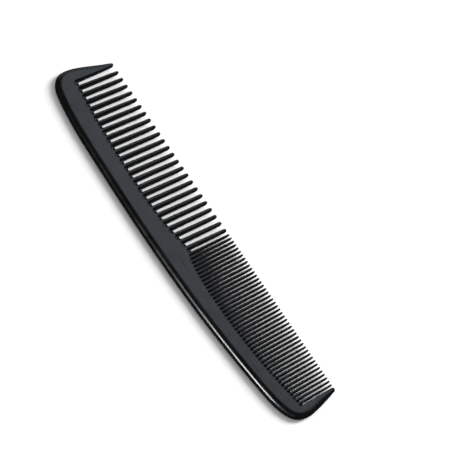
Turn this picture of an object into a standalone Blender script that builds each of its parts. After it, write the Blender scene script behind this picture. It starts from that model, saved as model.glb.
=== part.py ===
"""Pocket hair comb, one black plastic moulding.

The comb lies flat in the XY plane: its length is along X, the teeth point
along +Y, and the thickness is along Z with the lower face on z = 0.
Coarse teeth fill the -X half and fine teeth the +X half, between two solid
end guards. The moulding is modelled as three regions of it, a hairline apart:
the back with its end guards, the coarse row and the fine row.
"""
import math

import bmesh
import bpy
from mathutils import Matrix, Vector

MM = 0.001                      # all driving dimensions are in millimetres

# ---- driving dimensions -------------------------------------------------
LENGTH = 128.4                  # about a 5 inch comb, end to end
WIDTH = 25.95                   # back edge to tooth tips
THICK = 3.3                     # thickness of the back and the tooth roots
TIP_THICK = 1.7                 # thickness at the tooth tips
EDGE_ROUND = 1.5                # rounding of the back and the outer edges
TIP_ROUND = 0.55                # rounding along the line of the tips

COARSE_TEETH = 24
COARSE_PITCH = 2.6
COARSE_ROOT_W = 1.33            # tooth width at its root
COARSE_TIP_W = 1.18             # tooth width where the tip starts to round

FINE_TEETH = 45
FINE_PITCH = 1.25
FINE_ROOT_W = 0.86
FINE_TIP_W = 0.60

FIRST_COARSE_X = -57.3          # centre of the first coarse tooth
ROW_STEP = 1.88                 # last coarse tooth to first fine tooth
GUARD_INNER_COARSE = -59.65     # flat inner sides of the two end guards
GUARD_INNER_FINE = 60.15

RAMP = 2.25                     # a slot's floor is a V between the two faces
SEAM = 0.30                     # hairline between the regions
WEB = 0.8                       # solid strip kept behind a row's slots

TIP_Y = 13.1
BACK_Y = TIP_Y - WIDTH
MID_Z = THICK / 2

# Where the slots end on the faces: a shallow arc behind each row, with a
# cusp where the rows meet and a rise towards the fine end.
COARSE_ROOT_LINE = [(-60.0, -3.6), (-45.0, -5.3), (-22.0, -6.45),
                    (-8.0, -5.95), (-1.0, -4.7), (3.5, -3.9)]
FINE_ROOT_LINE = [(3.5, -3.9), (8.0, -5.3), (19.0, -6.05),
                  (33.0, -5.65), (47.0, -4.15), (61.0, -1.55)]

# The outline from the coarse guard's tip, round the back, to the fine
# guard's tip: blunt at the coarse end, a longer sweep at the fine end.
OUTLINE = [(-61.0, 12.2), (-62.15, 7.5), (-63.55, 2.0), (-64.2, -2.6),
           (-63.7, -6.45), (-60.9, -9.3), (-55.9, -10.7), (-46.0, -11.9),
           (-30.0, -12.5), (-8.0, -12.85), (14.0, -12.42), (32.0, -11.18),
           (50.5, -9.05), (58.6, -7.2), (62.9, -4.3), (64.15, 0.2),
           (63.5, 4.6), (62.5, 9.2), (61.6, 12.4)]


# ---- helpers ------------------------------------------------------------
def collection(name, hidden=False):
    col = bpy.data.collections.new(name)
    bpy.context.scene.collection.children.link(col)
    col.hide_render = hidden
    return col


def smooth_line(points, x):
    """Height of a smooth line through a few stations, at x."""
    n = len(points)
    slopes = []
    for i in range(n):
        a = points[max(i - 1, 0)]
        b = points[min(i + 1, n - 1)]
        slopes.append((b[1] - a[1]) / (b[0] - a[0]))
    x = min(max(x, points[0][0]), points[-1][0])
    for i in range(n - 1):
        (x0, y0), (x1, y1) = points[i], points[i + 1]
        if x <= x1:
            h = x1 - x0
            t = (x - x0) / h
            return ((2 * t**3 - 3 * t**2 + 1) * y0
                    + (t**3 - 2 * t**2 + t) * h * slopes[i]
                    + (3 * t**2 - 2 * t**3) * y1
                    + (t**3 - t**2) * h * slopes[i + 1])
    return points[-1][1]


def smooth_path(points, steps):
    """Points along a Catmull-Rom curve through the stations."""
    out = []
    pts = [Vector(p) for p in points]
    n = len(pts)
    for i in range(n - 1):
        p0 = pts[max(i - 1, 0)]
        p1, p2 = pts[i], pts[i + 1]
        p3 = pts[min(i + 2, n - 1)]
        for k in range(steps):
            t = k / steps
            out.append(0.5 * ((2 * p1) + (p2 - p0) * t
                              + (2 * p0 - 5 * p1 + 4 * p2 - p3) * t * t
                              + (3 * p1 - p0 - 3 * p2 + p3) * t**3))
    out.append(pts[-1])
    return out


def flat_solid(name, outline, z0, z1, col):
    """A flat outline (mm) as a filled 2D curve, extruded, made a mesh."""
    curve = bpy.data.curves.new(name + "_curve", "CURVE")
    curve.dimensions = "2D"
    curve.fill_mode = "BOTH"
    curve.extrude = (z1 - z0) / 2 * MM
    spline = curve.splines.new("POLY")
    spline.points.add(len(outline) - 1)
    for point, (x, y) in zip(spline.points, outline):
        point.co = (x * MM, y * MM, 0.0, 1.0)
    spline.use_cyclic_u = True
    guide = bpy.data.objects.new(name + "_curve", curve)
    col.objects.link(guide)
    bpy.context.view_layer.update()
    deps = bpy.context.evaluated_depsgraph_get()
    mesh = bpy.data.meshes.new_from_object(guide.evaluated_get(deps))
    bm = bmesh.new()
    bm.from_mesh(mesh)
    bmesh.ops.remove_doubles(bm, verts=bm.verts, dist=1e-6)
    bmesh.ops.dissolve_limit(bm, angle_limit=0.001, verts=bm.verts,
                             edges=bm.edges)
    bmesh.ops.recalc_face_normals(bm, faces=bm.faces)
    bm.to_mesh(mesh)
    bm.free()
    obj = bpy.data.objects.new(name, mesh)
    obj.matrix_world = guide.matrix_world.copy()
    col.objects.link(obj)
    bpy.data.objects.remove(guide)
    mesh.transform(Matrix.Translation((0, 0, (z0 + z1) / 2 * MM)))
    return obj


def apply_modifiers(obj):
    bpy.context.view_layer.update()
    deps = bpy.context.evaluated_depsgraph_get()
    mesh = bpy.data.meshes.new_from_object(obj.evaluated_get(deps))
    obj.modifiers.clear()
    obj.data = mesh
    return obj


def boolean(obj, other, operation):
    mod = obj.modifiers.new(operation.lower(), "BOOLEAN")
    mod.object = other
    mod.operation = operation
    mod.solver = "EXACT"
    return apply_modifiers(obj)


def as_cutter(obj):
    obj.hide_render = True
    obj.display_type = "WIRE"
    return obj


# ---- the scene ----------------------------------------------------------
for old in list(bpy.data.objects):
    bpy.data.objects.remove(old, do_unlink=True)

parts = collection("hair_comb")
cutters = collection("hair_comb_cutters", hidden=True)


# ---- the blank: outline, rounded edges, faces thinning to the tips ------
rim = [(p.x, p.y) for p in smooth_path(OUTLINE, 5)]
outline = ([(-60.55, TIP_Y)] + rim + [(61.2, TIP_Y)])
blank = flat_solid("blank", outline, 0.0, THICK, cutters)

bm = bmesh.new()
bm.from_mesh(blank.data)
weight = bm.edges.layers.float.new("bevel_weight_edge")
for edge in bm.edges:
    a, b = edge.verts
    if abs(a.co.z - b.co.z) > 1e-6:
        continue                        # upright edges stay as they are
    y = (a.co.y + b.co.y) / 2 / MM
    along_tips = abs(a.co.x - b.co.x) / MM > 50
    fall = min(max((TIP_Y - 0.5 - y) / 7.0, 0.0), 1.0)
    share = TIP_ROUND / EDGE_ROUND
    edge[weight] = share if along_tips else share + (1 - share) * fall
bm.to_mesh(blank.data)
bm.free()
rounding = blank.modifiers.new("rounding", "BEVEL")
rounding.limit_method = "WEIGHT"
rounding.width = EDGE_ROUND * MM
rounding.segments = 4
rounding.use_clamp_overlap = False
apply_modifiers(blank)

# Each face drops away towards the tips, from a line behind the roots.
TAPER_START = -3.0
slope = math.atan2((THICK - TIP_THICK) / 2, TIP_Y - TAPER_START)
for side in (1, -1):
    bpy.ops.mesh.primitive_cube_add(size=1.0)
    wedge = bpy.context.active_object
    wedge.name = "taper_top" if side > 0 else "taper_bottom"
    for user in list(wedge.users_collection):
        user.objects.unlink(wedge)
    cutters.objects.link(wedge)
    size = Vector((LENGTH * 1.4, 60.0, 6.0)) * MM
    wedge.data.transform(Matrix.Diagonal((*size, 1.0)))
    wedge.data.transform(Matrix.Translation((0, 30.0 * MM, side * 3.0 * MM)))
    wedge.rotation_euler = (-side * slope, 0.0, 0.0)
    wedge.location = (0.0, TAPER_START * MM, (MID_Z + side * MID_Z) * MM)
    as_cutter(wedge)
    boolean(blank, wedge, "DIFFERENCE")


# ---- the slots between the teeth ----------------------------------------
def tooth_half(y, root_w, tip_w, root_y):
    """Half width of a tooth at height y: a slow taper, then a round tip."""
    r = tip_w / 2
    start = TIP_Y - r
    if y <= start:
        t = (y - root_y) / (start - root_y)
        return (root_w + (tip_w - root_w) * t) / 2
    d = min(y - start, r)
    return max(math.sqrt(max(r * r - d * d, 0.0)), 0.12)


def slot(left, right, root_y):
    """One cutter: a block split at stations, its sides moved to the teeth
    on either side, and its floor drawn into a V at mid thickness."""
    stations = [TIP_Y - 0.56, TIP_Y - 0.30, TIP_Y - 0.12, TIP_Y]
    low, high = root_y, TIP_Y + 1.2
    made = bmesh.new()
    bmesh.ops.create_cube(made, size=1.0)
    for vert in made.verts:
        vert.co.y = low if vert.co.y < 0 else high
        vert.co.z = MID_Z + (3.0 if vert.co.z > 0 else -3.0)
    for y in stations:
        geom = made.verts[:] + made.edges[:] + made.faces[:]
        bmesh.ops.bisect_plane(made, geom=geom, plane_co=(0, y, 0),
                               plane_no=(0, 1, 0))
    geom = made.verts[:] + made.edges[:] + made.faces[:]
    bmesh.ops.bisect_plane(made, geom=geom, plane_co=(0, 0, MID_Z),
                           plane_no=(0, 0, 1))
    for vert in made.verts:
        # the floor reaches root_y at the faces and the V's edge at mid plane
        if abs(vert.co.y - low) < 1e-6:
            reach = abs(vert.co.z - MID_Z) / (THICK / 2)
            vert.co.y = low + RAMP * (1 - reach)
        side = left if vert.co.x < 0 else right
        vert.co.x = side(vert.co.y)
    made.normal_update()
    bmesh.ops.dissolve_limit(made, angle_limit=0.002, verts=made.verts,
                             edges=made.edges)
    return made


def join(target, source):
    table = {}
    for vert in source.verts:
        table[vert] = target.verts.new(
            (vert.co.x * MM, vert.co.y * MM, vert.co.z * MM))
    for face in source.faces:
        target.faces.new([table[v] for v in face.verts])
    source.free()


coarse_x = [FIRST_COARSE_X + COARSE_PITCH * i for i in range(COARSE_TEETH)]
fine_x = [coarse_x[-1] + ROW_STEP + FINE_PITCH * i for i in range(FINE_TEETH)]
# The first teeth of the coarse row are slimmer, and the fine teeth get a
# little thicker at their roots towards the fine end.
slim = [max(0.0, 1 - i / 12) for i in range(COARSE_TEETH)]
teeth = ([(x - 0.10 * k, COARSE_ROOT_W - 0.20 * k, COARSE_TIP_W - 0.15 * k)
          for x, k in zip(coarse_x, slim)]
         + [(x, FINE_ROOT_W + 0.09 * i / FINE_TEETH, FINE_TIP_W)
            for i, x in enumerate(fine_x)])


def tooth_side(tooth, sign, root_y):
    x, root_w, tip_w = tooth
    return lambda y: x + sign * tooth_half(y, root_w, tip_w, root_y)


def guard_side(x, sign):
    """A guard's inner side, easing away at its tip."""
    r = 0.5
    return lambda y: x - sign * (0.0 if y < TIP_Y - r else
                                 r - math.sqrt(max(r * r - min(
                                     y - TIP_Y + r, r) ** 2, 0.0)) * 0.9)


all_slots = bmesh.new()
for i in range(len(teeth) + 1):
    if i == 0:
        mid = (GUARD_INNER_COARSE + teeth[0][0]) / 2
    elif i == len(teeth):
        mid = (GUARD_INNER_FINE + teeth[-1][0]) / 2
    else:
        mid = (teeth[i - 1][0] + teeth[i][0]) / 2
    line = COARSE_ROOT_LINE if i <= COARSE_TEETH else FINE_ROOT_LINE
    root_y = smooth_line(line, mid)
    left = (guard_side(GUARD_INNER_COARSE, 1) if i == 0
            else tooth_side(teeth[i - 1], 1, root_y))
    right = (guard_side(GUARD_INNER_FINE, -1) if i == len(teeth)
             else tooth_side(teeth[i], -1, root_y))
    join(all_slots, slot(left, right, root_y))
bmesh.ops.recalc_face_normals(all_slots, faces=all_slots.faces)
slot_mesh = bpy.data.meshes.new("slots")
all_slots.to_mesh(slot_mesh)
all_slots.free()
slots = bpy.data.objects.new("slots", slot_mesh)
cutters.objects.link(slots)
as_cutter(slots)
boolean(blank, slots, "DIFFERENCE")


# ---- the three regions of the moulding ----------------------------------
def row_region(name, x0, x1, grow):
    """Outline of a tooth row: a strip behind its slots, up past the tips."""
    low = []
    n = 40
    for k in range(n + 1):
        x = x0 + (x1 - x0) * k / n
        line = COARSE_ROOT_LINE if x < 3.5 else FINE_ROOT_LINE
        low.append((x, smooth_line(line, x) - WEB - grow))
    region = low + [(x1, TIP_Y + 3.0), (x0, TIP_Y + 3.0)]
    return as_cutter(flat_solid(name, region, -2.0, THICK + 2.0, cutters))


left_x = (GUARD_INNER_COARSE + coarse_x[0] - COARSE_ROOT_W / 2) / 2
right_x = (GUARD_INNER_FINE + fine_x[-1] + FINE_ROOT_W / 2) / 2
middle_x = (coarse_x[-1] + COARSE_ROOT_W / 2 + fine_x[0] - FINE_ROOT_W / 2) / 2
half = SEAM / 2


def region_part(name, mesh_source):
    obj = bpy.data.objects.new(name, mesh_source.data.copy())
    parts.objects.link(obj)
    return obj


both = row_region("rows_region", left_x - half, right_x + half, half)
back = boolean(region_part("back", blank), both, "DIFFERENCE")
coarse = boolean(region_part("coarse_teeth", blank),
                 row_region("coarse_region", left_x + half, middle_x - half,
                            -half), "INTERSECT")
fine = boolean(region_part("fine_teeth", blank),
               row_region("fine_region", middle_x + half, right_x - half,
                          -half), "INTERSECT")
as_cutter(blank)


# ---- finish: clean meshes, smooth shading, material ---------------------
def plastic(name, colour, roughness):
    mat = bpy.data.materials.new(name)
    mat.use_nodes = True
    bsdf = mat.node_tree.nodes["Principled BSDF"]
    bsdf.inputs["Base Color"].default_value = (*colour, 1.0)
    bsdf.inputs["Roughness"].default_value = roughness
    bsdf.inputs["Metallic"].default_value = 0.0
    mat.diffuse_color = (*colour, 1.0)
    return mat


ys = [v.co.y for obj in (back, coarse, fine) for v in obj.data.vertices]
xs = [v.co.x for obj in (back, coarse, fine) for v in obj.data.vertices]
centre = Matrix.Translation((-(min(xs) + max(xs)) / 2,
                             -(min(ys) + max(ys)) / 2, 0.0))
for obj in (back, coarse, fine):
    obj.data.transform(centre)

for obj, colour, roughness in ((back, (0.048, 0.050, 0.053), 0.40),
                               (coarse, (0.046, 0.048, 0.051), 0.42),
                               (fine, (0.044, 0.046, 0.049), 0.42)):
    bm = bmesh.new()
    bm.from_mesh(obj.data)
    bmesh.ops.remove_doubles(bm, verts=bm.verts, dist=2e-6)
    bmesh.ops.dissolve_degenerate(bm, edges=bm.edges, dist=2e-6)
    bmesh.ops.triangulate(bm, faces=bm.faces)
    bmesh.ops.recalc_face_normals(bm, faces=bm.faces)
    bm.to_mesh(obj.data)
    bm.free()
    obj.data.materials.clear()
    obj.data.materials.append(plastic(obj.name + "_plastic", colour,
                                      roughness))
    obj.data.shade_smooth()
    obj.data.set_sharp_from_angle(angle=math.radians(32))
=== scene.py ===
import math

import bpy
import numpy as np
from mathutils import Matrix, Vector


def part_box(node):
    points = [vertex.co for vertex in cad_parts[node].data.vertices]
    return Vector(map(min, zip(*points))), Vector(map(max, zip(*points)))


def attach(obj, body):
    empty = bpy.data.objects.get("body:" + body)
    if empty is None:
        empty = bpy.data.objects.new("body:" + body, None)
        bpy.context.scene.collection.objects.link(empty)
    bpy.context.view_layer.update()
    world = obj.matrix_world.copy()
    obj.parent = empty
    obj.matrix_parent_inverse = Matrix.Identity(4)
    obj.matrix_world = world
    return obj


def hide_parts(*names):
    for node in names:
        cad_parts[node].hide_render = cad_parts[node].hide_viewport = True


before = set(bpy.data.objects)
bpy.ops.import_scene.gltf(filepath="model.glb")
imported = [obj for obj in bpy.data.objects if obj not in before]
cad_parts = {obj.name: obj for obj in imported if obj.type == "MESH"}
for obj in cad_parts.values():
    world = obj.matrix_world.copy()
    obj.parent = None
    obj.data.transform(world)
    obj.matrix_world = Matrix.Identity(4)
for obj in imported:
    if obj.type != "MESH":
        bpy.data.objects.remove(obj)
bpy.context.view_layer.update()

MM = 0.001

# ------------------------------------------------------------------ sizes
# The comb's own dimensions, in millimetres, in the frame's axes: length on
# X, teeth towards +Y, lower face on z = 0.
lo_back, hi_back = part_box("back")
THICK = (hi_back.z - lo_back.z) / MM
TIP_Y = 13.1
SHIFT = hi_back.y / MM - TIP_Y      # from these drawing axes to the frame's
HALF = THICK / 2
TIP_HALF = 0.85
EDGE_R = 1.6

N_COARSE, P_COARSE = 24, 2.6
N_FINE, P_FINE = 45, 1.25
X_FIRST, ROW_STEP = -57.3, 1.88
COARSE_ROOT, COARSE_TIP = 1.33, 1.18
FINE_ROOT, FINE_TIP = 0.86, 0.60
GUARD_IN_C, GUARD_IN_F = -59.65, 60.15
RAMP = 2.25
LOW_MARGIN = 0.9

ROOT_C = [(-60.0, -3.6), (-45.0, -5.3), (-22.0, -6.45),
          (-8.0, -5.95), (-1.0, -4.7), (3.5, -3.9)]
ROOT_F = [(3.5, -3.9), (8.0, -5.3), (19.0, -6.05),
          (33.0, -5.65), (47.0, -4.15), (61.0, -1.55)]
OUTLINE = [(-61.0, 12.2), (-62.15, 7.5), (-63.55, 2.0), (-64.2, -2.6),
           (-63.7, -6.45), (-60.9, -9.3), (-55.9, -10.7), (-46.0, -11.9),
           (-30.0, -12.5), (-8.0, -12.85), (14.0, -12.42), (32.0, -11.18),
           (50.5, -9.05), (58.6, -7.2), (62.9, -4.3), (64.15, 0.2),
           (63.5, 4.6), (62.5, 9.2), (61.6, 12.4)]


def hermite(points, x):
    n = len(points)
    m = []
    for i in range(n):
        a, b = points[max(i - 1, 0)], points[min(i + 1, n - 1)]
        m.append((b[1] - a[1]) / (b[0] - a[0]))
    x = min(max(x, points[0][0]), points[-1][0])
    for i in range(n - 1):
        (x0, y0), (x1, y1) = points[i], points[i + 1]
        if x <= x1:
            h = x1 - x0
            t = (x - x0) / h
            return ((2 * t**3 - 3 * t**2 + 1) * y0
                    + (t**3 - 2 * t**2 + t) * h * m[i]
                    + (3 * t**2 - 2 * t**3) * y1
                    + (t**3 - t**2) * h * m[i + 1])
    return points[-1][1]


def root_line(x):
    """Where the slots end on the faces."""
    return hermite(ROOT_C if x <= 3.5 else ROOT_F, x)


class Path:
    """The outline as a dense curve, by arc length, with inward normals."""

    def __init__(self, stations, steps=60):
        pts = [np.array(p, float) for p in stations]
        out = []
        for i in range(len(pts) - 1):
            p0, p1 = pts[max(i - 1, 0)], pts[i]
            p2, p3 = pts[i + 1], pts[min(i + 2, len(pts) - 1)]
            for k in range(steps):
                t = k / steps
                out.append(0.5 * (2 * p1 + (p2 - p0) * t
                                  + (2 * p0 - 5 * p1 + 4 * p2 - p3) * t * t
                                  + (3 * p1 - p0 - 3 * p2 + p3) * t**3))
        out.append(pts[-1])
        p = np.array(out)
        # a little smoothing takes out the joins of the segments
        for _ in range(260):
            p[1:-1] += 0.5 * (0.5 * (p[:-2] + p[2:]) - p[1:-1])
        self.p = p
        seg = np.linalg.norm(np.diff(p, axis=0), axis=1)
        self.s = np.concatenate([[0], np.cumsum(seg)])
        t = np.gradient(p, self.s, axis=0)
        t /= np.linalg.norm(t, axis=1)[:, None]
        self.n = np.c_[-t[:, 1], t[:, 0]]
        self.length = self.s[-1]

    def at(self, s):
        return np.array([np.interp(s, self.s, self.p[:, k]) for k in (0, 1)])

    def normal(self, s):
        n = np.array([np.interp(s, self.s, self.n[:, k]) for k in (0, 1)])
        return n / np.linalg.norm(n)

    def s_at_y(self, y, left):
        """Arc length where the left or right end of the outline has y."""
        half = len(self.p) // 2
        if left:
            idx = np.arange(0, half)
            py = self.p[idx, 1]
            return float(np.interp(-y, -py, self.s[idx]))
        idx = np.arange(half, len(self.p))
        return float(np.interp(y, self.p[idx, 1], self.s[idx]))


path = Path(OUTLINE)

# ------------------------------------------------------- the comb as a mesh
# The comb is the same above and below its mid plane, so each vertex is made
# once for the upper half and mirrored; a vertex at mid thickness is shared.
verts, faces = [], []


def add(x, y, z):
    verts.append((x, y, max(z, 0.0)))
    return len(verts) - 1


def face(*ids):
    clean = []
    for i in ids:
        if not clean or clean[-1] != i:
            clean.append(i)
    if clean[0] == clean[-1]:
        clean.pop()
    if len(clean) > 2:
        faces.append(tuple(clean))


def grid(rows):
    """Quads between rows that run in +X, listed in +Y order."""
    for a, b in zip(rows[:-1], rows[1:]):
        for c in range(len(a) - 1):
            face(a[c], a[c + 1], b[c + 1], b[c])


def half_thick(x, y):
    """Half thickness of the comb at a point of its face."""
    start = root_line(x) - LOW_MARGIN
    if y <= start:
        return HALF
    t = (y - start) / (TIP_Y - start)
    return HALF + (TIP_HALF - HALF) * t


# rows through a slot's end: from just behind it on the face (q over 1) to
# the edge of the V at mid thickness (q = 0)
Q_ROWS = [1.0, 0.985, 0.94, 0.86, 0.74, 0.58, 0.38, 0.17, 0.0]
A_OFF = 0.16


def ramp(q):
    if q >= 1.0:
        return 0.972
    return 0.42 * q + 0.53 * (1 - math.sqrt(1 - q * q))


def q_y(x, q, u):
    """Height of row q at x; u is 1 at the walls and 0 mid slot."""
    bow = 1 - math.sqrt(max(1 - u * u, 0.0))
    half = 0.60 if x <= 3.0 else 0.24
    yb = root_line(x) + 0.85 * half * bow
    ya = root_line(x) + RAMP + 0.45 * half * bow
    return ya - q * (ya - yb)


SHAFT = [0.1, 0.26, 0.44, 0.62, 0.8, 0.92, 1.0]
TIP_ANGLES = [16, 32, 47, 61, 73, 83]
ARC = [76, 60, 45, 30, 14]


def section(hw, h, rho):
    """Half of a tooth's section, from its side at mid thickness to its top
    centre: an inward-drafted wall, then a crowned, nearly oval top."""
    rho = min(rho, 0.94 * hw)
    up = min(0.92 * rho, 0.8 * h)
    top = hw - 0.03 * h
    out = [(hw, 0.0), (hw - 0.012 * h, 0.38 * h)]
    for a in reversed(ARC):
        a = math.radians(a)
        out.append((top - rho + rho * math.cos(a), h - up + up * math.sin(a)))
    out.append((0.0, h))
    return out                      # from the side to the centre


class Tooth:
    def __init__(self, x, root_w, tip_w, rho, tip_len, lean):
        self.x, self.root_w, self.tip_w = x, root_w, tip_w
        self.rho, self.tip_len, self.lean = rho, tip_len, lean

    def hw(self, y):
        y0, y1 = root_line(self.x), TIP_Y - self.tip_len
        t = min(max((y - y0) / (y1 - y0), -0.2), 1.0)
        return (self.root_w + (self.tip_w - self.root_w) * t) / 2

    def row(self, y_of, floor, hw=None, h=None, rho=None):
        """One row of vertices across the tooth, left to right."""
        yc = y_of(self.x)
        hw = self.hw(yc) if hw is None else hw
        h = half_thick(self.x, yc) if h is None else h
        sec = section(hw, h, self.rho if rho is None else rho)
        cols = [(-dx, z) for dx, z in sec] + [(dx, z) for dx, z in sec[-2::-1]]
        ids = []
        for dx, z in cols:
            x = self.x + dx
            y = y_of(x)
            ids.append(add(x + self.lean * (y - 6.5), y, max(z, floor * h)))
        return ids

    def build(self):
        self.a_row = self.row(lambda x: q_y(x, 1.0, 1) - A_OFF, 1.0)
        self.q_rows = [self.row(lambda x, q=q: q_y(x, q, 1), ramp(q))
                       for q in Q_ROWS]
        rows = [self.a_row] + self.q_rows
        y_end = TIP_Y - self.tip_len
        for t in SHAFT:
            rows.append(self.row(
                lambda x, t=t: q_y(x, 0.0, 1) * (1 - t) + y_end * t, 0.0))
        h0 = half_thick(self.x, y_end)
        for a in TIP_ANGLES:
            c, s = math.cos(math.radians(a)), math.sin(math.radians(a))
            y = y_end + self.tip_len * s
            rows.append(self.row(lambda x, y=y: y, 0.0,
                                 hw=self.tip_w / 2 * c ** 0.9,
                                 h=h0 * c ** 0.75, rho=self.rho * c))
        pole = add(self.x + self.lean * (TIP_Y - 6.5), TIP_Y, 0.0)
        grid(rows)
        last = rows[-1]
        for c in range(len(last) - 1):
            face(last[c], last[c + 1], pole)
        # low columns kept for the flat back: its centre
        self.keep = [len(self.a_row) // 2]


RINGS = [0, 8, 18, 30, 43, 57, 72, 90]      # degrees round the outer edge
FLATS = [0.34, 0.68]


class Guard:
    """An end guard: its outer side follows the outline's rounded edge and
    its inner side is a straight tooth side."""

    def __init__(self, side):
        self.side = side            # -1 coarse end, +1 fine end
        self.inner = GUARD_IN_C if side < 0 else GUARD_IN_F

    def row(self, y_in, s, floor=0.0, h=None, tip=None):
        """ids from the outer side to the inner side."""
        inner = np.array([self.inner, y_in])
        if tip is None:
            out, n = path.at(s), path.normal(s)
        else:
            out, inner = tip
            n = inner - out
            n = n / np.linalg.norm(n)
        width = np.linalg.norm(inner - out)
        across = (inner - out) / width
        if tip is None:
            k = min(max((out[1] - 4.0) / 8.0, 0.0), 1.0)
            n = n * (1 - k) + across * k
            n /= np.linalg.norm(n)
        r = min(EDGE_R, 0.56 * width)
        rho = min(0.42, 0.34 * width)
        ring, edge = [], None
        for a in RINGS:
            a = math.radians(a)
            p = out + n * r * (1 - math.cos(a))
            hh = half_thick(inner[0], p[1]) if h is None else h
            ring.append(add(p[0], p[1], hh * math.sin(a)))
            edge = p
        h_in = half_thick(inner[0], inner[1]) if h is None else h
        sec = section(1.6 * rho + 0.2, h_in, rho)
        shoulder = []
        for dx, z in reversed(sec[:-1]):      # flat end ... side
            inset = sec[0][0] - dx
            p = inner - np.array([1.0, 0.0]) * (-self.side) * inset
            shoulder.append((p, z))
        start = shoulder[0][0]
        flats = []
        for t in FLATS:
            p = edge + (start - edge) * t
            hh = half_thick(inner[0], p[1]) if h is None else h
            flats.append(add(p[0], p[1], hh))
        side = [add(p[0], p[1], max(z, floor * h_in)) for p, z in shoulder]
        return ring, flats, side

    def build(self):
        yl = root_line(self.inner)
        left = self.side < 0
        q_in = lambda q: q_y(self.inner, q, 1)
        specs = [(q_in(1.0) - A_OFF, 1.0, None)]
        specs += [(q_in(q), ramp(q), None) for q in Q_ROWS]
        tip_len = 0.85
        y_end = TIP_Y - tip_len
        for t in SHAFT:
            specs.append((q_in(0.0) * (1 - t) + y_end * t, 0.0, None))
        rows = []
        for y, floor, _ in specs:
            s = path.s_at_y(min(y, y_end), left)
            rows.append(self.row(y, s, floor))
        out_end = path.at(path.s_at_y(y_end, left))
        in_end = np.array([self.inner, y_end])
        mid = (out_end + in_end) / 2
        h0 = half_thick(self.inner, y_end)
        for a in TIP_ANGLES:
            c, s = math.cos(math.radians(a)), math.sin(math.radians(a))
            lift = np.array([0.0, tip_len * s])
            o = mid + (out_end - mid) * c ** 0.9 + lift
            i = mid + (in_end - mid) * c ** 0.9 + lift
            rows.append(self.row(i[1], 0, 0.0, h=h0 * c ** 0.75, tip=(o, i)))
        pole = add(mid[0], TIP_Y, 0.0)
        self.rows = rows
        full = [r[0] + r[1] + r[2] for r in rows]
        if not left:
            full = [list(reversed(r)) for r in full]
        grid(full)
        last = full[-1]
        for c in range(len(last) - 1):
            face(last[c], last[c + 1], pole)
        self.a_row = full[0]
        self.q_rows = full[1:1 + len(Q_ROWS)]


teeth = []
for i in range(N_COARSE):
    # the first teeth of the coarse row are a little slimmer
    slim = max(0.0, 1 - i / 12)
    teeth.append(Tooth(X_FIRST + P_COARSE * i - 0.10 * slim,
                       COARSE_ROOT - 0.20 * slim, COARSE_TIP - 0.15 * slim,
                       0.58, 0.85, 0.020))
x_fine = X_FIRST + P_COARSE * (N_COARSE - 1) + ROW_STEP
for i in range(N_FINE):
    teeth.append(Tooth(x_fine + P_FINE * i, FINE_ROOT + 0.09 * i / N_FINE,
                       FINE_TIP, 0.33, 0.6, 0.008))
for t in teeth:
    t.build()
guard_c, guard_f = Guard(-1), Guard(1)
guard_c.build()
guard_f.build()

W_COARSE = [-0.93, -0.74, -0.4, 0.0, 0.4, 0.74, 0.93]
W_FINE = [-0.8, 0.0, 0.8]

# slots, left to right, between neighbours that are already built
dense = []              # the whole dense row just behind the slots
marks = []              # places in it kept as columns of the flat back
order = [guard_c] + teeth + [guard_f]
n_ring = len(RINGS)
for k, (a, b) in enumerate(zip(order[:-1], order[1:])):
    cols = W_COARSE if k <= N_COARSE else W_FINE
    if k == 0:
        dense += a.a_row
        marks += list(range(n_ring - 1, n_ring + len(FLATS) + 1))
    rows = []
    spans = [(a.a_row[-1], b.a_row[0])] + [
        (ra[-1], rb[0]) for ra, rb in zip(a.q_rows, b.q_rows)]
    for j, (va, vb) in enumerate(spans):
        xa, xb = verts[va][0], verts[vb][0]
        row = [va]
        for w in cols:
            x = xa + (xb - xa) * (w + 1) / 2
            if j == 0:
                y = q_y(x, 1.0, w) - A_OFF
                h = half_thick(x, y)
                row.append(add(x, y, h))
            else:
                q = Q_ROWS[j - 1]
                y = q_y(x, q, w)
                h = half_thick(x, y)
                row.append(add(x, y, h * ramp(q)))
        row.append(vb)
        rows.append(row)
    grid(rows)
    if k <= N_COARSE:
        marks.append(len(dense) + len(cols) // 2)
    dense += rows[0][1:-1]
    base = len(dense)
    if b is guard_f:
        m = len(b.a_row)
        tail = m - n_ring
        marks += list(range(base + tail - len(FLATS) - 1, base + tail + 1))
    else:
        marks.append(base + len(b.a_row) // 2)
    dense += b.a_row

# --------------------------------------------------------- flat of the back
low = []
for i in marks:
    x, y, _ = verts[dense[i]]
    low.append((x, root_line(x) - LOW_MARGIN))


def edge_station(s, first=None):
    """Vertices round the rounded edge at one place of the outline."""
    out, n = path.at(s), path.normal(s)
    ids = []
    for a in RINGS:
        a = math.radians(a)
        p = out + n * EDGE_R * (1 - math.cos(a))
        ids.append(add(p[0], p[1], HALF * math.sin(a)))
    return ids


s_left0 = path.s_at_y(verts[guard_c.a_row[0]][1], True)
s_left1 = path.s_at_y(root_line(-62.0) - LOW_MARGIN, True)
s_right0 = path.s_at_y(verts[guard_f.a_row[-1]][1], False)
s_right1 = path.s_at_y(root_line(61.0) - LOW_MARGIN, False)
s_cl = path.s_at_y(-8.9, True)
s_cr = path.s_at_y(-6.3, False)
N_ROWS = 8
left_s = [s_left1 + (s_cl - s_left1) * k / N_ROWS for k in range(N_ROWS + 1)]
right_s = [s_right1 + (s_cr - s_right1) * k / N_ROWS
           for k in range(N_ROWS + 1)]
x0, x1 = low[0][0], low[-1][0]
bottom_s = [s_cl + (s_cr - s_cl) * (p[0] - x0) / (x1 - x0) for p in low]

left_st = [edge_station(s) for s in left_s]
right_st = [edge_station(s) for s in right_s]
bottom_st = ([left_st[-1]] + [edge_station(s) for s in bottom_s[1:-1]]
             + [right_st[-1]])

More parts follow.
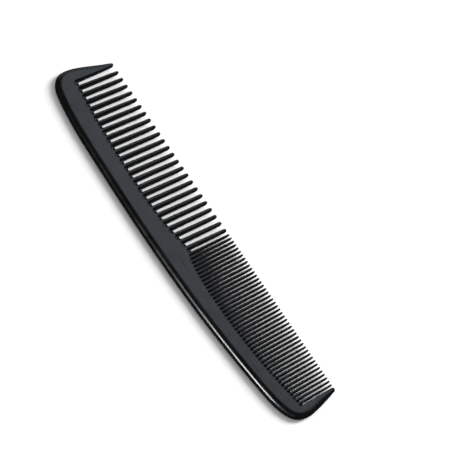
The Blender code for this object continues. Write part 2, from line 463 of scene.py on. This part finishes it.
# the band of the rounded edge, from the coarse guard to the fine guard
band = [guard_c.a_row[:n_ring]] + left_st + bottom_st[1:-1]
band += list(reversed(right_st)) + [list(reversed(guard_f.a_row[-n_ring:]))]
for a, b in zip(band[:-1], band[1:]):
    for k in range(n_ring - 1):
        face(a[k], b[k], b[k + 1], a[k + 1])

# rows of the flat between the roots and the edge, blended from their sides
xy = lambda i: np.array(verts[i][:2])
m = len(low)
top_pts = [np.array(p) for p in low]
top_pts[0] = xy(left_st[0][-1])
top_pts[-1] = xy(right_st[0][-1])
left_pts = [xy(st[-1]) for st in left_st]
right_pts = [xy(st[-1]) for st in right_st]
bot_pts = [xy(st[-1]) for st in bottom_st]
flat_rows = []
for r in range(N_ROWS + 1):
    v = r / N_ROWS
    row = []
    for c in range(m):
        u = (low[c][0] - x0) / (x1 - x0)
        if c == 0:
            row.append(left_st[r][-1])
        elif c == m - 1:
            row.append(right_st[r][-1])
        elif r == N_ROWS:
            row.append(bottom_st[c][-1])
        elif r == 0:
            row.append(add(*top_pts[c], HALF))
        else:
            p = ((1 - v) * top_pts[c] + v * bot_pts[c]
                 + (1 - u) * left_pts[r] + u * right_pts[r]
                 - ((1 - u) * (1 - v) * top_pts[0] + u * (1 - v) * top_pts[-1]
                    + (1 - u) * v * bot_pts[0] + u * v * bot_pts[-1]))
            row.append(add(p[0], p[1], HALF))
    flat_rows.append(row)
grid(list(reversed(flat_rows)))

# from the few columns of the flat to the many of the slots
top = flat_rows[0]
for c in range(m - 1):
    i0, i1 = marks[c], marks[c + 1]
    face(top[c], top[c + 1], *[dense[i] for i in range(i1, i0 - 1, -1)])

# mirror to the lower half
n = len(verts)
lower = {}
all_verts = list(verts)
for i, (x, y, z) in enumerate(verts):
    if z <= 1e-9:
        lower[i] = i
    else:
        lower[i] = len(all_verts)
        all_verts.append((x, y, -z))
all_faces = faces + [tuple(lower[i] for i in reversed(f)) for f in faces]
mesh = bpy.data.meshes.new("comb")
mesh.from_pydata([(x * MM, (y + SHIFT) * MM, (z + HALF) * MM)
                  for x, y, z in all_verts],
                 [], all_faces)
mesh.validate()
comb = bpy.data.objects.new("comb", mesh)
bpy.context.scene.collection.objects.link(comb)
mesh.shade_smooth()
mesh.set_sharp_from_angle(angle=math.radians(48))
weighted = comb.modifiers.new("normals", "WEIGHTED_NORMAL")
weighted.keep_sharp = True
weighted.weight = 60
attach(comb, "root")
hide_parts("back", "coarse_teeth", "fine_teeth")


# --------------------------------------------------------------- materials
def material(name):
    mat = bpy.data.materials.new(name)
    mat.use_nodes = True
    nt = mat.node_tree
    return mat, nt, nt.nodes["Principled BSDF"]


plastic, nt, bsdf = material("satin_black_plastic")
bsdf.inputs["Base Color"].default_value = (0.0070, 0.0076, 0.0086, 1)
bsdf.inputs["Roughness"].default_value = 0.24
bsdf.inputs["IOR"].default_value = 1.49
bsdf.inputs["Specular IOR Level"].default_value = 0.27
coords = nt.nodes.new("ShaderNodeTexCoord")


def noise(scale, detail, stretch=None, rough=0.5):
    """Noise on the comb's own coordinates; stretch lengthens it along X."""
    node = nt.nodes.new("ShaderNodeTexNoise")
    node.inputs["Scale"].default_value = scale
    node.inputs["Detail"].default_value = detail
    node.inputs["Roughness"].default_value = rough
    source = coords.outputs["Object"]
    if stretch:
        turn = nt.nodes.new("ShaderNodeMapping")
        turn.inputs["Scale"].default_value = stretch
        nt.links.new(source, turn.inputs["Vector"])
        source = turn.outputs["Vector"]
    nt.links.new(source, node.inputs["Vector"])
    return node.outputs["Fac"]


def spread(value, lo, hi, from_lo=0.3, from_hi=0.7):
    node = nt.nodes.new("ShaderNodeMapRange")
    node.inputs["From Min"].default_value = from_lo
    node.inputs["From Max"].default_value = from_hi
    node.inputs["To Min"].default_value = lo
    node.inputs["To Max"].default_value = hi
    nt.links.new(value, node.inputs["Value"])
    return node.outputs["Result"]


def add_up(a, b):
    node = nt.nodes.new("ShaderNodeMath")
    node.operation = "ADD"
    nt.links.new(a, node.inputs[0])
    nt.links.new(b, node.inputs[1])
    return node.outputs["Value"]


# cloudy unevenness of the pigment
clouds = noise(140.0, 4.0)
mix = nt.nodes.new("ShaderNodeMix")
mix.data_type = "RGBA"
mix.inputs["A"].default_value = (0.0022, 0.0025, 0.0030, 1)
mix.inputs["B"].default_value = (0.0042, 0.0047, 0.0055, 1)
nt.links.new(spread(clouds, 0.0, 1.0), mix.inputs["Factor"])
nt.links.new(mix.outputs["Result"], bsdf.inputs["Base Color"])

# rubbed and handled patches, with hairline scratches along the comb
rubbed = spread(noise(260.0, 5.0, rough=0.6), 0.20, 0.31)
hairs = spread(noise(1500.0, 2.0, (0.05, 1.0, 1.0)), 0.0, 0.10, 0.60, 0.72)
nt.links.new(add_up(rubbed, hairs), bsdf.inputs["Roughness"])

# the moulded skin: slow sink waves, a fine grain and the scratches' depth
height = add_up(spread(noise(110.0, 2.0), 0.0, 0.9),
                add_up(spread(noise(3200.0, 3.0), 0.0, 0.035),
                       spread(noise(1500.0, 2.0, (0.05, 1.0, 1.0)),
                              0.0, -0.05, 0.60, 0.72)))
bump = nt.nodes.new("ShaderNodeBump")
bump.inputs["Strength"].default_value = 1.0
bump.inputs["Distance"].default_value = 0.00005
nt.links.new(height, bump.inputs["Height"])
nt.links.new(bump.outputs["Normal"], bsdf.inputs["Normal"])
comb.data.materials.append(plastic)

floor_mat, nt, bsdf = material("white_sweep")
bsdf.inputs["Base Color"].default_value = (0.92, 0.92, 0.92, 1)
bsdf.inputs["Roughness"].default_value = 0.9
bsdf.inputs["Specular IOR Level"].default_value = 0.0

# the sweep stays white out to its edge, beyond the reach of the key
coords = nt.nodes.new("ShaderNodeTexCoord")
reach = nt.nodes.new("ShaderNodeVectorMath")
reach.operation = "LENGTH"
nt.links.new(coords.outputs["Object"], reach.inputs[0])
glow = nt.nodes.new("ShaderNodeMapRange")
glow.inputs["From Min"].default_value = 0.22
glow.inputs["From Max"].default_value = 0.60
glow.inputs["To Max"].default_value = 0.55
nt.links.new(reach.outputs["Value"], glow.inputs["Value"])
bsdf.inputs["Emission Color"].default_value = (1, 1, 1, 1)
nt.links.new(glow.outputs["Result"], bsdf.inputs["Emission Strength"])

bpy.ops.mesh.primitive_plane_add(size=6.0, location=(0, 0, -0.00002))
floor = bpy.context.active_object
floor.name = "floor"
floor.data.materials.append(floor_mat)
floor.visible_glossy = False

# ------------------------------------------------------------------ lights
world = bpy.data.worlds.new("studio")
world.use_nodes = True
nt = world.node_tree
back = nt.nodes["Background"]
back.inputs["Color"].default_value = (1, 1, 1, 1)
ray = nt.nodes.new("ShaderNodeLightPath")
level = nt.nodes.new("ShaderNodeMapRange")
level.inputs["To Min"].default_value = 0.60     # soft light all round
level.inputs["To Max"].default_value = 0.05     # what the gloss sees
nt.links.new(ray.outputs["Is Glossy Ray"], level.inputs["Value"])
backdrop = nt.nodes.new("ShaderNodeMath")       # white behind the floor
backdrop.operation = "ADD"
nt.links.new(level.outputs["Result"], backdrop.inputs[0])
nt.links.new(ray.outputs["Is Camera Ray"], backdrop.inputs[1])
nt.links.new(backdrop.outputs["Value"], back.inputs["Strength"])
bpy.context.scene.world = world
bpy.context.scene.view_settings.view_transform = "Standard"


def area(name, azimuth, elevation, distance, size, size_y, radiance,
         target=(0, 0, 0)):
    """A rectangular softbox; azimuth 0 is towards +Y, 90 towards +X."""
    az, el = math.radians(azimuth), math.radians(elevation)
    way = Vector((math.sin(az) * math.cos(el), math.cos(az) * math.cos(el),
                  math.sin(el)))
    light = bpy.data.lights.new(name, "AREA")
    light.shape = "RECTANGLE"
    light.size = size
    light.size_y = size_y
    light.energy = radiance * math.pi * size * size_y
    obj = bpy.data.objects.new(name, light)
    obj.location = Vector(target) + way * distance
    obj.rotation_euler = (-way).to_track_quat("-Z", "Y").to_euler()
    obj.visible_camera = False
    bpy.context.scene.collection.objects.link(obj)
    return obj


# the big softbox opposite the camera, whose reflection greys the flat faces
sheen = area("sheen_softbox", -23, 52, 0.9, 0.62, 0.55, 2.25)
sheen.data.color = (0.86, 0.97, 1.07)
sheen.visible_diffuse = False
# the key comes along the teeth, so that the slots stay light
key = area("key", 9, 47, 1.2, 0.36, 1.0, 12.4)
key.visible_glossy = False
# the low strip that draws the line along the rounded back
strip = area("back_strip", 171.5, 15, 1.0, 0.27, 0.30, 76)
strip.visible_diffuse = False
# a low card beyond the teeth, which the sloping slot ends pick up
card = area("tip_card", -12, 2, 1.0, 0.9, 0.45, 1.6)
card.visible_diffuse = False
# faint cards to either side, for the sheen seen from lower angles
left = area("left_card", -62, 14, 1.1, 1.3, 0.55, 0.75)
left.visible_diffuse = False
right = area("right_card", 132, 13, 1.1, 0.7, 0.5, 0.8)
right.visible_diffuse = False

# ------------------------------------------------------------------ camera
cam_data = bpy.data.cameras.new("camera")
cam_data.sensor_width = 36.0
cam_data.lens = 1996.98 / 452 * 36.0
cam_data.shift_x = -0.5 / 452
cam_data.shift_y = 0.5 / 452
cam_data.clip_start = 0.01
cam = bpy.data.objects.new("camera", cam_data)
bpy.context.scene.collection.objects.link(cam)
cam.matrix_world = Matrix.Translation((0, SHIFT * MM, 0)) @ Matrix((
    (0.554003, -0.812045, 0.183477, 0.112863),
    (0.730424, 0.368369, -0.575139, -0.334309),
    (0.399452, 0.452645, 0.797214, 0.484665),
    (0.0, 0.0, 0.0, 1.0)))
bpy.context.scene.camera = cam
